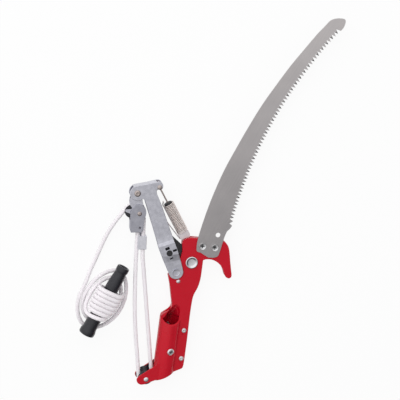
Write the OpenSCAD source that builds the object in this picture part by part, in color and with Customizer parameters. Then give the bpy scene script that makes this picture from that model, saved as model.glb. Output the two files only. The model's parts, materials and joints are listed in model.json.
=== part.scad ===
// Head of a rope operated tree pruner with a pull saw.
// Millimetres. +Y runs up the pole to the head, +X to the hook, +Z out of the front shell.
// The origin is on the axis of the pole socket, where the bore starts to be closed all round.

/* [Pole socket] */
// Diameter of the bore for the pole
pole_d = 25; // [23:0.5:26]
// Wall of the round part of the socket
socket_wall = 2; // [1.5:0.25:2.5]

/* [Shells] */
// Half the thickness of the head, from the middle plane to the face
shell_t = 5.5; // [5:0.25:6.5]
// Thickness of the roller ears
ear_t = 2.5; // [2:0.25:3]
// Half the gap between the roller ears
ear_gap = 9.7; // [9:0.1:10]

/* [Cutting blade] */
// Thickness of the cutting blade
blade_t = 3; // [2.4:0.2:3.6]
// Free space on each side of the cutting blade
blade_gap = 0.5; // [0.3:0.1:0.7]
// Turn of the blade for each degree of the lever
blade_ratio = 0.76; // [0.7:0.02:0.76]

/* [Lever] */
// Thickness of the lever's plates
lever_t = 2; // [1.5:0.25:2.5]
// Free space between the lever and the shells
lever_gap = 0.4; // [0.3:0.1:0.7]

/* [Pivots and fasteners] */
// Main pivot shank
main_pivot_d = 8; // [6:0.5:9]
// Lever pivot rivet shank
lever_rivet_d = 6; // [5:0.5:7]
// Drive pin
drive_pin_d = 5.2; // [4.6:0.1:5.4]
// Link rivet shank
link_rivet_d = 6; // [5:0.5:7]
// Spring pin
spring_pin_d = 4; // [3.5:0.25:4.5]
// Wheel axle
wheel_axle_d = 4; // [3:0.25:4.5]
// Roller pin
roller_pin_d = 4.8; // [4:0.2:5.4]
// Saw screw shank
saw_screw_d = 4; // [3.5:0.25:5]
// Flange rivet shank
flange_rivet_d = 4.4; // [3.6:0.2:5]
// Radial clearance of a shank in the piece that turns on it
running = 0.05; // [0.02:0.01:0.1]

/* [Saw] */
// Length of the saw blade beyond the head
saw_length = 325; // [280:5:380]
// Thickness of the saw blade
saw_t = 1.3; // [1:0.1:1.8]
// Number of teeth
saw_teeth = 62; // [50:1:70]
// Depth of the teeth
tooth_depth = 6; // [4:0.25:6.5]

/* [Rope and handle] */
// Rope diameter
rope_d = 5.4; // [4.8:0.1:5.6]
// Radius at the bottom of the roller's groove
roller_root_r = 6; // [5.5:0.25:6.5]
// Radius at the bottom of the wheel's groove
wheel_root_r = 4.4; // [4:0.2:4.8]
// Length of the handle
handle_l = 105; // [98:1:110]
// Radius of the handle's waist
handle_waist_r = 9.3; // [8.5:0.1:9.6]

/* [Return spring] */
// Outside diameter of the spring
spring_d = 15.6; // [14:0.2:16]
// Wire diameter
spring_wire_d = 1.4; // [1:0.1:1.5]
// Number of curls
spring_curls = 23; // [14:1:23]

/* [Hidden] */
$fn = 64;

// Pivots in the plane of the head
main_at = [18, 157.5];
lever_at = [-1.5, 142.5];
drive_at = [-14, 168.5];
link_at = [-66, 245];
spring_pin_at = [-38, 256];
anchor_at = [9, 186];
wheel_at = [-70.5, 219.5];
block_rivet_at = [-60, 218];
roller_at = [-24, -11];
stop_at = [3.5, 129.5];
saw_screws_at = [[29.5, 181.5], [46.5, 181]];
flange_rivets_at = [[20, 60.5], [21.5, 20]];
pole_screw_y = 32;
socket_rivet_y = 63;
bore_rise = 22;

socket_r = pole_d / 2 + socket_wall;
floor_z = -socket_r;
pocket_half = blade_t / 2 + blade_gap;
lever_in = shell_t + lever_gap;
lever_out = lever_in + lever_t;
strap_out = lever_in - 0.3;
strap_t = 1.6;
strap_in = strap_out - strap_t;
cheek_t = 1.6;
cheek_out = strap_out + cheek_t;
wheel_half = strap_in - 0.3;
rope_r = rope_d / 2;
rope_clear = 0.3;
roller_rope_r = roller_root_r + rope_r + rope_clear;
wheel_rope_r = wheel_root_r + rope_r + rope_clear;
lever_turn = 100;

// Plain helpers
function turned(p, a) = [p[0] * cos(a) - p[1] * sin(a), p[0] * sin(a) + p[1] * cos(a)];
function polar(r, a) = [r * cos(a), r * sin(a)];
function arc(c, r, a0, a1, n) = [for (i = [0:n]) c + polar(r, a0 + (a1 - a0) * i / n)];
function unit(v) = v / norm(v);
function near(p, i) = p[max(0, min(len(p) - 1, i))];
function eased(a, b, c, d, t) =
    0.5 * (2 * b + (c - a) * t + (2 * a - 5 * b + 4 * c - d) * t * t + (3 * b - a - 3 * c + d) * t * t * t);
// A smooth line through points, with k steps from each to the next
function smooth(p, k) = concat(
    [for (i = [0:len(p) - 2], j = [0:k - 1])
        eased(near(p, i - 1), p[i], p[i + 1], near(p, i + 2), j / k)],
    [p[len(p) - 1]]);

// A round tube along points in space
function headings(p) = [for (i = [0:len(p) - 1]) unit(near(p, i + 1) - near(p, i - 1))];
function square_to(t, u) = unit(u - t * (u * t));
function carried(t, u) =
    [for (i = 0, w = square_to(t[0], u); i < len(t); i = i + 1, w = square_to(near(t, i), w)) w];

module tube(p, r, sides, first = [0, 0, 1]) {
    n = len(p);
    t = headings(p);
    u = carried(t, first);
    ring_points = [for (i = [0:n - 1], j = [0:sides - 1])
        let (a = 360 * (j + 0.5) / sides) p[i] + r * (cos(a) * u[i] + sin(a) * cross(t[i], u[i]))];
    walls = [for (i = [0:n - 2], j = [0:sides - 1]) let (m = (j + 1) % sides)
        [i * sides + j, (i + 1) * sides + j, (i + 1) * sides + m, i * sides + m]];
    polyhedron(ring_points, concat(walls, [[for (j = [0:sides - 1]) j]],
        [[for (j = [0:sides - 1]) n * sides - 1 - j]]), convexity = 10);
}

module at(p) {
    translate([p[0], p[1], 0]) children();
}

// A cylinder along Z between two heights
module post(r, z0, z1) {
    translate([0, 0, z0]) cylinder(r = r, h = z1 - z0);
}

// A flat plate between two heights
module plate(p, z0, z1) {
    translate([0, 0, z0]) linear_extrude(z1 - z0) polygon(p);
}

// Outline of the red shells
right_edge = smooth([[24.5, 5], [26.3, 10.5], [26.5, 35], [26.3, 58], [25.8, 80], [26, 101], [27.2, 112],
    [31.3, 123], [33.4, 135], [33.6, 148], [33.5, 161.5]], 3);
hook_edge = smooth([[33.5, 161.5], [37, 163], [43, 163.5], [48, 162.5], [52.5, 160.6], [57, 157.4], [60.5, 153.6],
    [63.3, 148.7], [65.4, 143.7], [68, 140.4], [71.7, 138.9], [74.6, 140.3], [75.5, 143.6], [73.5, 152],
    [71, 162.5], [68.2, 175], [66, 182], [63.3, 186.2], [59.5, 189.4], [56, 190.6]], 3);
head_edge = smooth([[12.5, 191.2], [7.5, 189.4], [3.6, 187.3], [2.1, 184.6], [2.5, 179], [3.5, 173], [3.1, 167], [1, 159],
    [-5, 148], [-11, 136]], 3);
neck_edge = smooth([[-11, 136], [-7.5, 125], [-5.3, 116], [-3.3, 107], [-1.4, 99], [-1.2, 93.5], [-3.7, 88.2],
    [-9, 84]], 3);
function shell_outline() = concat(right_edge, hook_edge, [[22, 191.3]], head_edge, neck_edge,
    [[-socket_r + 1.4, 80.4], [-socket_r + 0.6, 76], [-socket_r + 1, 68], [-socket_r + 3, 62], [-socket_r + 3, -16]]);
ear_outline = concat([[-5, 17.5], [-9.5, 14], [-16.5, 7], [-21, 3.5], [-34.5, -7.5]],
    smooth([[-34.5, -7.5], [-36.9, -11.5], [-36, -15.5], [-33.5, -18.2], [-30, -19.3], [-26.5, -18.8]], 3),
    [[-17.5, -14.5], [-9.5, -10.8], [-5, -8.5]]);

module slanted_foot() {
    plate([[60, 23.2], [-45, -30.5], [-45, -90], [60, -90]], -40, 40);
}

module along_pole(r, y0, y1) {
    translate([0, y0, 0]) rotate([-90, 0, 0]) cylinder(r = r, h = y1 - y0);
}

// A prism along X from an outline in Y and Z
module across(p, x0, x1) {
    translate([x0, 0, 0]) rotate([90, 0, 90]) linear_extrude(x1 - x0) polygon(p);
}

// The end of the bore, which runs out on the slant through the front face
module bore_end(r0, r1, h) {
    translate([0, 73, 0]) rotate([0, 0, -16]) rotate([bore_rise - 90, 0, 0]) cylinder(r1 = r0, r2 = r1, h = h);
}

// Room for the roller and for the rope that runs on to it
module roller_room() {
    at(roller_at) post(roller_rope_r + rope_r + 0.5, -ear_gap, ear_gap);
    translate([strand_to[0], strand_to[1], 0]) rotate([0, 0, strand_turn]) rotate([-90, 0, 0])
        cylinder(r = rope_r + 0.5, h = 40);
}

// Space between the shells for the cutting blade and its tail
module blade_room() {
    plate(concat([main_at], arc(main_at, 62, 116, 378, 60)), -pocket_half, pocket_half);
    plate(concat([main_at], arc(main_at, 24, 10, 62, 16)), -pocket_half, pocket_half);
    plate(concat([main_at], arc(main_at, 28, 10, 30, 8)), -pocket_half, pocket_half);
    at(main_at) post(15, -pocket_half, pocket_half);
}

// Space between the shells for the foot of the spring
module foot_room() {
    plate(concat([anchor_at], arc(anchor_at, 24, 44, 256, 40)), -pocket_half, pocket_half);
    plate(concat([anchor_at], arc(anchor_at, 13, 250, 300, 12)), -pocket_half, pocket_half);
    at(anchor_at) post(7, -pocket_half, pocket_half);
}

module shell_holes() {
    at(main_at) post(main_pivot_d / 2, -20, 20);
    at(lever_at) post(lever_rivet_d / 2, -20, 20);
    at(stop_at) post(1.8, -20, 20);
    at(anchor_at) post(2, -shell_t + 1.2, shell_t - 1.2);
    for (p = saw_screws_at) at(p) post(saw_screw_d / 2, -20, 20);
    for (p = flange_rivets_at) at(p) post(flange_rivet_d / 2, -20, 20);
    at(roller_at) post(roller_pin_d / 2, -20, 20);
}

module front_shell() {
    color([0.75, 0.07, 0.13]) difference() {
        union() {
            plate(shell_outline(), 0, shell_t);
            difference() {
                along_pole(socket_r, -16, 79);
                translate([-20, -20, -20]) cube([40, 120, 20]);
                across([[76.6, shell_t - 1], [66.5, 17], [100, 17], [100, shell_t - 1]], -20, 20);
            }
            plate(ear_outline, ear_gap, ear_gap + ear_t);
            at([18.6, 55.2]) post(1.1, shell_t - 1, shell_t + 0.5);
            at([20.2, 14.6]) post(1.1, shell_t - 1, shell_t + 0.5);
        }
        along_pole(pole_d / 2, -30, 77);
        bore_end(pole_d / 2 - 0.4, 4.4, 26);
        roller_room();
        slanted_foot();
        blade_room();
        foot_room();
        shell_holes();
        translate([0, pole_screw_y, 0]) rotate([0, 15, 0]) post(2.5, 8, 20);
    }
}

module rear_shell() {
    color([0.72, 0.06, 0.12]) difference() {
        union() {
            plate(shell_outline(), -shell_t, 0);
            difference() {
                union() {
                    along_pole(socket_r, -16, 77.5);
                    bore_end(socket_r - 0.2, 6.6, 28.4);
                }
                translate([-20, -20, 0]) cube([60, 140, 20]);
            }
            plate(ear_outline, -ear_gap - ear_t, -ear_gap);
        }
        along_pole(pole_d / 2, -30, 77);
        bore_end(pole_d / 2 - 0.4, 4.4, 26);
        roller_room();
        slanted_foot();
        blade_room();
        foot_room();
        shell_holes();
        translate([0, socket_rivet_y, 0]) post(2, -20, -8);
    }
}

// Saw blade
saw_back = smooth([[28, 172.5], [24, 173.2], [22, 176.5], [22, 191], [28, 225], [35.5, 256.5], [45, 288], [57, 319],
    [69, 348], [83, 379], [97.5, 406], [112.5, 432.5], [127.5, 456], [142, 478], [149, 487.2], [154.7, 495],
    [157.6, 498], [162, 500.2], [167, 501.5], [172.5, 501.9], [175.7, 501.2], [177.1, 499], [176.9, 495],
    [176.2, 491.8], [174.8, 488.8], [172.7, 486.1]], 3);
saw_line = [[172.5, 485.5], [162, 470.8], [152.1, 455.6], [142.8, 440.1], [133.8, 424.4], [125.2, 408.4],
    [117.1, 392.3], [109.5, 375.8], [102.6, 359.1], [96.3, 342.2], [90.4, 325], [85.1, 307.7],
    [80.3, 290.3], [76.3, 272.7], [72.3, 255], [69.1, 237.2], [66.4, 219.3]];
saw_heel = [[61.8, 216], [65.8, 213], [63.4, 208.6], [60, 204.8], [57.8, 197.5], [56.3, 189.5], [54.5, 178], [53.2, 171.5], [51, 168.3], [46.5, 166.7],
    [39.5, 166.4]];
saw_root = [45, 200];
saw_axis = unit([0.385, 0.923]);
saw_drawn = 325;
// Points beyond the head move along the blade with its length
function saw_out(p) = p + saw_axis * max(0, (p - saw_root) * saw_axis) * (saw_length / saw_drawn - 1);
function on_line(p, f) = let (g = f * (len(p) - 1), i = min(floor(g), len(p) - 2)) p[i] + (p[i + 1] - p[i]) * (g - i);
function inward(p, f) = let (d = unit(on_line(p, f + 0.01) - on_line(p, f - 0.01))) [d[1], -d[0]];
saw_edge = [for (i = [0:saw_teeth - 1], k = [0:1])
    let (f = (i + (k == 0 ? 0.47 : 1)) / saw_teeth)
    k == 0 ? on_line(saw_line, f) + tooth_depth * inward(saw_line, max(0.02, min(0.98, f))) : on_line(saw_line, f)];

module saw_blade() {
    color([0.6, 0.6, 0.6]) difference() {
        plate([for (p = concat(saw_back, saw_edge, saw_heel)) saw_out(p)], shell_t, shell_t + saw_t);
        for (p = saw_screws_at) at(p) post(saw_screw_d / 2, 0, 20);
        at([48.5, 198.5]) post(3.2, 0, 20);
    }
}

module saw_screws() {
    z = shell_t + saw_t;
    color([0.75, 0.75, 0.74]) for (p = saw_screws_at) at(p) difference() {
        union() {
            post(4.8, z, z + 1.6);
            translate([0, 0, z + 1.6]) cylinder(r1 = 4.8, r2 = 3.4, h = 1.1);
            post(saw_screw_d / 2, -shell_t - 4.6, z + 0.5);
        }
        translate([-2.4, -0.6, z + 1.3]) cube([4.8, 1.2, 3]);
        translate([-0.6, -2.4, z + 1.3]) cube([1.2, 4.8, 3]);
    }
}

module saw_nuts() {
    color([0.7, 0.7, 0.7]) for (p = saw_screws_at) at(p) difference() {
        translate([0, 0, -shell_t - 3.2]) cylinder(r = 4.1 + (saw_screw_d - 4) / 2, h = 3.2, $fn = 6);
        post(saw_screw_d / 2, -20, 0);
    }
}

// Cutting blade, with a curved slot in its tail that the drive pin runs in
function slot_point(a) = main_at + turned(lever_at + turned(drive_at - lever_at, a) - main_at, -blade_ratio * a);
slot_line = [for (a = [-4:4:lever_turn + 4]) slot_point(a)];
slot_r = drive_pin_d / 2 + 0.4;
function aside(p, i) = let (d = unit(near(p, i + 1) - near(p, i - 1))) [-d[1], d[0]];
slot_outline = concat(
    [for (i = [0:len(slot_line) - 1]) slot_line[i] + slot_r * aside(slot_line, i)],
    let (n = len(slot_line) - 1, s = aside(slot_line, n), a = atan2(s[1], s[0]))
        arc(slot_line[n], slot_r, a - 15, a - 165, 10),
    [for (i = [len(slot_line) - 1:-1:0]) slot_line[i] - slot_r * aside(slot_line, i)],
    let (s = aside(slot_line, 0), a = atan2(s[1], s[0])) arc(slot_line[0], slot_r, a - 195, a - 345, 10));
cutting_part = concat([[22, 169], [29, 165]],
    smooth([[30.6, 158], [31.2, 152], [32.2, 144], [32.2, 134], [30.2, 124], [25.8, 113.5], [20.5, 104.5], [16.5, 101.5]], 3),
    smooth([[16.5, 101.5], [12, 106], [8.8, 116], [7.6, 128], [7.2, 140], [6.2, 151]], 3), [[10, 166]]);
tail_part = concat([[20, 166], [9.2, 171.4]],
    smooth([[2.5, 179.5], [-12, 190.6], [-19, 196.4], [-24.5, 198.8], [-30, 197], [-33.4, 190.5], [-32.6, 183.5],
        [-27.6, 174.6], [-22, 166.5], [-15, 161.6], [-6, 160], [4, 154]], 3), [[12, 148]]);

module cutting_blade() {
    color([0.06, 0.06, 0.07]) difference() {
        union() {
            plate(cutting_part, -blade_t / 2, blade_t / 2);
            plate(tail_part, -blade_t / 2, blade_t / 2);
            at(main_at) post(13, -blade_t / 2, blade_t / 2);
        }
        at(main_at) post(main_pivot_d / 2 + running, -20, 20);
        plate(slot_outline, -20, 20);
    }
}

module main_pivot_bolt() {
    color([0.78, 0.78, 0.8]) at(main_at) {
        post(8.5, shell_t, shell_t + 1.4);
        post(6.3, shell_t + 1, shell_t + 2.6);
        post(main_pivot_d / 2, floor_z, shell_t + 0.5);
    }
}

module main_pivot_nut() {
    color([0.7, 0.7, 0.72]) at(main_at) difference() {
        translate([0, 0, -shell_t - 5.5]) cylinder(r = 7.5, h = 5.5, $fn = 6);
        post(main_pivot_d / 2, -30, 0);
    }
}

// A rivet through a stack: a shank and two low heads
module rivet(r, head_r, z0, z1, high = 1.6) {
    post(r, z0 - 0.4, z1 + 0.4);
    translate([0, 0, z1]) cylinder(r1 = head_r, r2 = head_r * 0.72, h = high);
    translate([0, 0, z0 - high]) cylinder(r1 = head_r * 0.72, r2 = head_r, h = high);
}

// A rivet with one head, set into one plate
module stub(r, head_r, z0, z1, high = 1.6) {
    post(r, z0, z1 + 0.4);
    translate([0, 0, z1]) cylinder(r1 = head_r, r2 = head_r * 0.72, h = high);
}

module both_sides() {
    children();
    mirror([0, 0, 1]) children();
}

module flange_rivets() {
    color([0.8, 0.8, 0.8]) for (p = flange_rivets_at) at(p)
        rivet(flange_rivet_d / 2, flange_rivet_d / 2 + 1.4, -shell_t, shell_t);
}

module lever_pivot_rivets() {
    color([0.78, 0.78, 0.8]) at(lever_at) both_sides()
        stub(lever_rivet_d / 2, 5.4, pocket_half + 0.2, lever_out + 0.1, 1.8);
}

module lever_stop_rivets() {
    color([0.8, 0.8, 0.8]) at(stop_at) both_sides() stub(1.8, 2.9, pocket_half + 0.2, shell_t, 1.5);
}

module pole_screw() {
    color([0.75, 0.75, 0.74]) translate([0, pole_screw_y, 0]) rotate([0, 15, 0]) difference() {
        union() {
            post(2.5, pole_d / 2 + 0.2, socket_r + 0.6);
            post(4.7, socket_r, socket_r + 1.6);
            translate([0, 0, socket_r + 1.6]) cylinder(r1 = 4.7, r2 = 3.4, h = 1);
        }
        translate([-2.4, -0.6, socket_r + 1.2]) cube([4.8, 1.2, 3]);
        translate([-0.6, -2.4, socket_r + 1.2]) cube([1.2, 4.8, 3]);
    }
}

module socket_rivet() {
    color([0.8, 0.8, 0.8]) translate([0, socket_rivet_y, 0]) post(2, -socket_r + 0.3, -pole_d / 2 - 0.2);
}

module rope_roller() {
    high = ear_gap - 0.4;
    color([0.06, 0.06, 0.06]) at(roller_at) difference() {
        rotate_extrude() polygon([[0, -high], [11.5, -high], [11.5, -high + 1.5], [roller_root_r, -rope_r - 0.4],
            [roller_root_r, rope_r + 0.4], [10.4, 4.8], [8.2, high], [0, high]]);
        post(roller_pin_d / 2 + running, -20, 20);
    }
}

module roller_pin() {
    color([0.8, 0.8, 0.8]) at(roller_at)
        rivet(roller_pin_d / 2, roller_pin_d / 2 + 1, -ear_gap - ear_t, ear_gap + ear_t, 1.2);
}

// Lever
lever_outline = concat(arc(lever_at, 9.8, 206.6, 385.8, 24),
    smooth([[7, 148], [2, 161], [-6.5, 179], [-15, 196.5], [-25.5, 218], [-32, 231.5], [-37.4, 241.5], [-40.6, 247.5],
        [-41.2, 250.8], [-39.6, 253], [-36.6, 252.6], [-34, 254.6], [-33.6, 258], [-34.8, 261.2], [-37.5, 263.3],
        [-40.8, 263.5]], 3),
    [[-54, 259], [-69, 254.6]], arc(link_at, 10, 110, 262, 18),
    smooth([[-63.4, 235.2], [-60, 236.6], [-57.6, 238.2], [-55.6, 237], [-51.5, 228]], 3),
    [[-41.5, 204.5], [-33.5, 185.5], [-27, 169.5], [-19, 153.8]]);
lever_web = [[-42, 263.1], [-54, 259], [-69, 254.6], [-72.4, 252.7], [-71.2, 251.1], [-68.4, 252.5], [-53.4, 256.9],
    [-42.6, 260.7]];

module lever() {
    color([0.66, 0.66, 0.7]) difference() {
        union() {
            both_sides() plate(lever_outline, lever_in, lever_out);
            plate(lever_web, -lever_out, lever_out);
        }
        at(lever_at) post(lever_rivet_d / 2 + running, -20, 20);
        at(drive_at) post(drive_pin_d / 2, -20, 20);
        at(link_at) post(link_rivet_d / 2, -20, 20);
        at(spring_pin_at) post(spring_pin_d / 2, -20, 20);
        // punched openings round the drive pin, front plate only
        at([-17.6, 174.6]) rotate([0, 0, 28]) translate([-3, -1.9, 0]) cube([6, 3.8, 20]);
        at([-7.4, 173.2]) rotate([0, 0, 24]) translate([-2.7, -1.5, 0]) cube([5.4, 3, 20]);
        at([-10.4, 161.6]) rotate([0, 0, 30]) translate([-2.3, -1, 0]) cube([4.6, 2, 20]);
    }
}

module drive_pin() {
    color([0.05, 0.05, 0.05]) at(drive_at) post(drive_pin_d / 2, -lever_out - 1, lever_out + 1);
}

module drive_pin_rings() {
    color([0.7, 0.7, 0.72]) at(drive_at) both_sides() difference() {
        post(drive_pin_d / 2 + 1.5, lever_out, lever_out + 0.7);
        post(drive_pin_d / 2, 0, 20);
    }
}

module link_rivet() {
    color([0.7, 0.62, 0.58]) at(link_at) rivet(link_rivet_d / 2, link_rivet_d / 2 + 1.4, -lever_out, lever_out, 1.8);
}

module spring_pin() {
    color([0.7, 0.62, 0.58]) at(spring_pin_at)
        rivet(spring_pin_d / 2, spring_pin_d / 2 + 1.3, -lever_out, lever_out, 1.5);
}

// Return spring, its foot, which turns on the anchor pin, and its hook on the lever
spring_line = spring_pin_at - anchor_at;
spring_heading = atan2(spring_line[1], spring_line[0]);
spring_reach = norm(spring_line);
coil_start = 13.2;
coil_end = 58;
coil_r = spring_d / 2 - spring_wire_d / 2;
coil_pitch = (coil_end - coil_start - spring_wire_d) / spring_curls;
coil_turns = [for (i = [0:spring_curls * 8]) let (a = 45 * i)
    [coil_r * cos(a), coil_r * sin(a), coil_start + spring_wire_d / 2 + coil_pitch * i / 8]];
coil_points = concat([coil_turns[0] - [0, spring_wire_d, 0]], coil_turns,
    [coil_turns[len(coil_turns) - 1] + [0, spring_wire_d, 0]]);
plug_r = coil_r * cos(22.5) - spring_wire_d / 2 - 0.3;
echo(spring_least_gap = coil_pitch - spring_wire_d);

// Turns what stands along Z to run from the anchor to the spring pin
module on_spring() {
    translate([anchor_at[0], anchor_at[1], 0]) rotate([0, 90, spring_heading]) children();
}

module spring() {
    color([0.66, 0.65, 0.62]) on_spring() tube(coil_points, spring_wire_d / 2, 6, [1, 0, 0]);
}

module spring_foot() {
    half = 7.3;
    tongue = min(plug_r - 0.5, 4.6);
    color([0.62, 0.62, 0.63]) difference() {
        union() {
            translate([anchor_at[0], anchor_at[1], 0]) rotate([0, 0, spring_heading])
                plate([[-2, -3.8], [7, -half], [12.9, -half], [12.9, -tongue], [18, -tongue], [18, tongue],
                    [12.9, tongue], [12.9, half], [7, half], [-2, 3.8]], -1.4, 1.4);
            at(anchor_at) post(4.4, -1.4, 1.4);
            translate([anchor_at[0], anchor_at[1], 0]) rotate([0, 0, spring_heading])
                translate([6, half + 0.2, 0]) rotate([0, 90, 9.5]) cylinder(r = 0.7, h = 34, $fn = 24);
        }
        at(anchor_at) post(2 + running, -20, 20);
    }
}

module spring_hook() {
    ring = spring_pin_d / 2 + 0.5;
    color([0.62, 0.62, 0.63]) {
        on_spring() {
            post(plug_r, 53, coil_end + 0.6);
            translate([0, 0, coil_end + 0.6]) cylinder(r1 = plug_r, r2 = plug_r - 0.8, h = 0.6);
        }
        translate([spring_pin_at[0], spring_pin_at[1], 0]) rotate([0, 0, spring_heading - 180]) {
            rotate_extrude(angle = 190) translate([ring + 1.1, 0]) circle(r = 1.1, $fn = 24);
            translate([ring + 1.1, 0, 0]) rotate([0, 90, 0])
                cylinder(r = 1.1, h = spring_reach - coil_end - ring - 1.6, $fn = 24);
        }
    }
}

module anchor_pin() {
    color([0.7, 0.7, 0.7]) at(anchor_at) post(2, -shell_t + 1.3, shell_t - 1.3);
}

// Pulley block
strap_outline = concat(arc(link_at, 7, 0, 180, 18), [[-74.3, 236], [-74.2, 231]],
    smooth([[-73.6, 228], [-71.8, 225.9], [-70.4, 224.4], [-71.6, 223], [-75, 222.3], [-78.2, 221.8], [-79, 220.2],
        [-78, 218.4], [-74, 217.2], [-70.6, 216.2], [-69.6, 214], [-68, 210.8], [-58, 209.8], [-54.4, 214],
        [-53.8, 221], [-56, 229], [-58.8, 238]], 2));
cheek_outline = concat(smooth([[-72.5, 219.5], [-69.2, 224.5], [-66.8, 228.4], [-62.5, 230.4], [-57.5, 229.6],
    [-53.6, 226.5], [-51.6, 221.5], [-51.6, 216], [-52.6, 211]], 3),
    smooth([[-52.6, 196.5], [-53.2, 194.2], [-56, 193]], 3), [[-68.5, 191.6], [-70, 195]]);
leg_outline = [[-57, 216], [-50.6, 216], [-45.4, 169.2], [-54.4, 168.6], [-55.2, 190]];

module link_straps() {
    color([0.72, 0.72, 0.75]) both_sides() difference() {
        plate(strap_outline, strap_in, strap_out);
        at(link_at) post(link_rivet_d / 2 + running, 0, 20);
        at(wheel_at) post(wheel_axle_d / 2, 0, 20);
        at(block_rivet_at) post(2, 0, 20);
    }
}

module block_cheeks() {
    color([0.42, 0.42, 0.44]) difference() {
        union() {
            both_sides() plate(cheek_outline, strap_out, cheek_out);
            plate([[-70, 195], [-71.3, 207.5], [-69.7, 207.5], [-68.4, 195.2]], -cheek_out, cheek_out);
            plate(leg_outline, -cheek_out, -strap_out);
        }
        both_sides() at(block_rivet_at) post(2, 0, 20);
        at([-57.5, 199]) post(1.6, -20, 20);
    }
}

module block_rivets() {
    color([0.6, 0.5, 0.46]) at(block_rivet_at) both_sides() stub(2, 3.1, strap_in + 0.1, cheek_out, 1.3);
}

module wheel_axle() {
    color([0.7, 0.7, 0.7]) at(wheel_at) post(wheel_axle_d / 2, -strap_out, strap_out);
}

module pulley_wheel() {
    rim = wheel_rope_r + 1.6;
    color([0.05, 0.05, 0.05]) at(wheel_at) difference() {
        rotate_extrude() polygon([[0, -wheel_half], [rim, -wheel_half], [rim, -wheel_half + 0.3],
            [wheel_root_r, -rope_r - 0.25], [wheel_root_r, rope_r + 0.25], [rim, wheel_half - 0.3],
            [rim, wheel_half], [0, wheel_half]]);
        post(wheel_axle_d / 2 + running, -20, 20);
    }
}

clamp_at = [-50, 178.3];

module rope_clamp() {
    color([0.62, 0.62, 0.65]) translate([clamp_at[0], clamp_at[1], 0]) rotate([0, 0, 5]) difference() {
        union() {
            translate([-4.4, -9.2, -strap_out]) cube([8.8, 18.4, strap_out + 3.8]);
            translate([-7.6, -9.2, 3]) cube([12, 18.4, 1.2]);
        }
        rotate([90, 0, 0]) translate([0, 0, -15]) cylinder(r = rope_r, h = 30);
    }
}

// Rope, from the clamp to the roller, up to the wheel, and away to the handle
clamp_down = [sin(5), -cos(5)];
clamp_foot = clamp_at + 9.2 * clamp_down;
clamp_tail = clamp_at - 33 * clamp_down;
strand_turn = 11.1;
strand_to = roller_at + polar(roller_rope_r, strand_turn);
strand_down = [sin(strand_turn), -cos(strand_turn)];
strand_end = strand_to - 0.8 * strand_down;
running_turn = 189.8;
running_from = roller_at + polar(roller_rope_r, running_turn);
running_up = [sin(running_turn), -cos(running_turn)];
running_start = running_from + 0.8 * running_up;
wheel_turn_in = 8.4;
wheel_turn_out = 146.2;
wheel_in = wheel_at + polar(wheel_rope_r, wheel_turn_in);
wheel_out = wheel_at + polar(wheel_rope_r, wheel_turn_out);
wheel_away = [-sin(wheel_turn_out), cos(wheel_turn_out)];
wheel_end = wheel_out + 0.8 * wheel_away;
block_foot = [-59, 191];
block_up = unit([-1, 7.4]);
function lifted(p, z = 0) = [for (q = p) [q[0], q[1], z]];

module rope(p, sides = 8) {
    color([0.93, 0.92, 0.93]) tube(p, rope_r, sides);
}

module rope_fixed_end() {
    rope(lifted([for (i = [0:4]) clamp_tail + (clamp_foot - clamp_tail) * i / 4]), 10);
}

module rope_fixed_strand() {
    knee = [-47.4, 155];
    rope(lifted(concat([clamp_foot, clamp_foot + 1.5 * clamp_down, [-48.3, 160.5], knee],
        [for (i = [1:9]) knee + (strand_end - knee) * i / 10], [strand_end - 1.5 * strand_down, strand_end])), 10);
}

module rope_roller_turn() {
    rope(lifted(concat([strand_end], arc(roller_at, roller_rope_r, strand_turn, running_turn - 360, 16),
        [running_start])), 10);
}

module rope_running_strand() {
    rope(lifted(concat([running_start, running_start + 1.5 * running_up],
        smooth([[-35.5, 2], [-38.3, 17], [-43.8, 46], [-48.6, 76], [-52.2, 106], [-55.1, 136], [-57.3, 165],
        [-58.3, 180]], 2), [block_foot - 1.5 * block_up, block_foot])), 10);
}

module rope_wheel_turn() {
    rope(lifted(concat([block_foot, block_foot + 1.5 * block_up, block_foot + 7.4 * block_up, [-61.2, 206]],
        arc(wheel_at, wheel_rope_r, wheel_turn_in, wheel_turn_out, 12), [wheel_end])), 10);
}

// Winding on the handle: loops round both ends, then turns round the waist
handle_mid = [-91.5, 93.75];
handle_heading = 67.7;
loop_z = floor_z + rope_r + 0.05;
end_r = 10.8;
handle_z = loop_z + rope_r + 0.2 + end_r;
loop_step = rope_d + 0.75;
loop_long = 50;
loop_wide = 31.5;
loop_aside = -0.5;
loop_low = 3;
loop_first = 4;
loop_sweep = 720;
loop_lift_from = 655;
wrap_r = handle_waist_r + rope_r + 0.2;
wrap_sweep = 2310;
wrap_from = -23;
wrap_aside = 1.2;
wrap_spread = 4.5;
function hank(s, t, z) = concat(
    handle_mid + s * [cos(handle_heading), sin(handle_heading)] + t * [sin(handle_heading), -cos(handle_heading)], [z]);
// Loops narrow to both ends, and the last one rises beside the handle
function loop_point(v) = let (a = loop_first - v, k = loop_step * v / 360, c = cos(a), f = 0.86 + 0.14 * v / loop_sweep,
    lift = max(0, v - loop_lift_from) / 80)
    hank((loop_long - 1.8 * k) * sin(a) - loop_low * c * c, loop_aside - (loop_wide - k) * c * (f + (1 - f) * c * c),
        loop_z + 5 * lift * lift);
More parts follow.
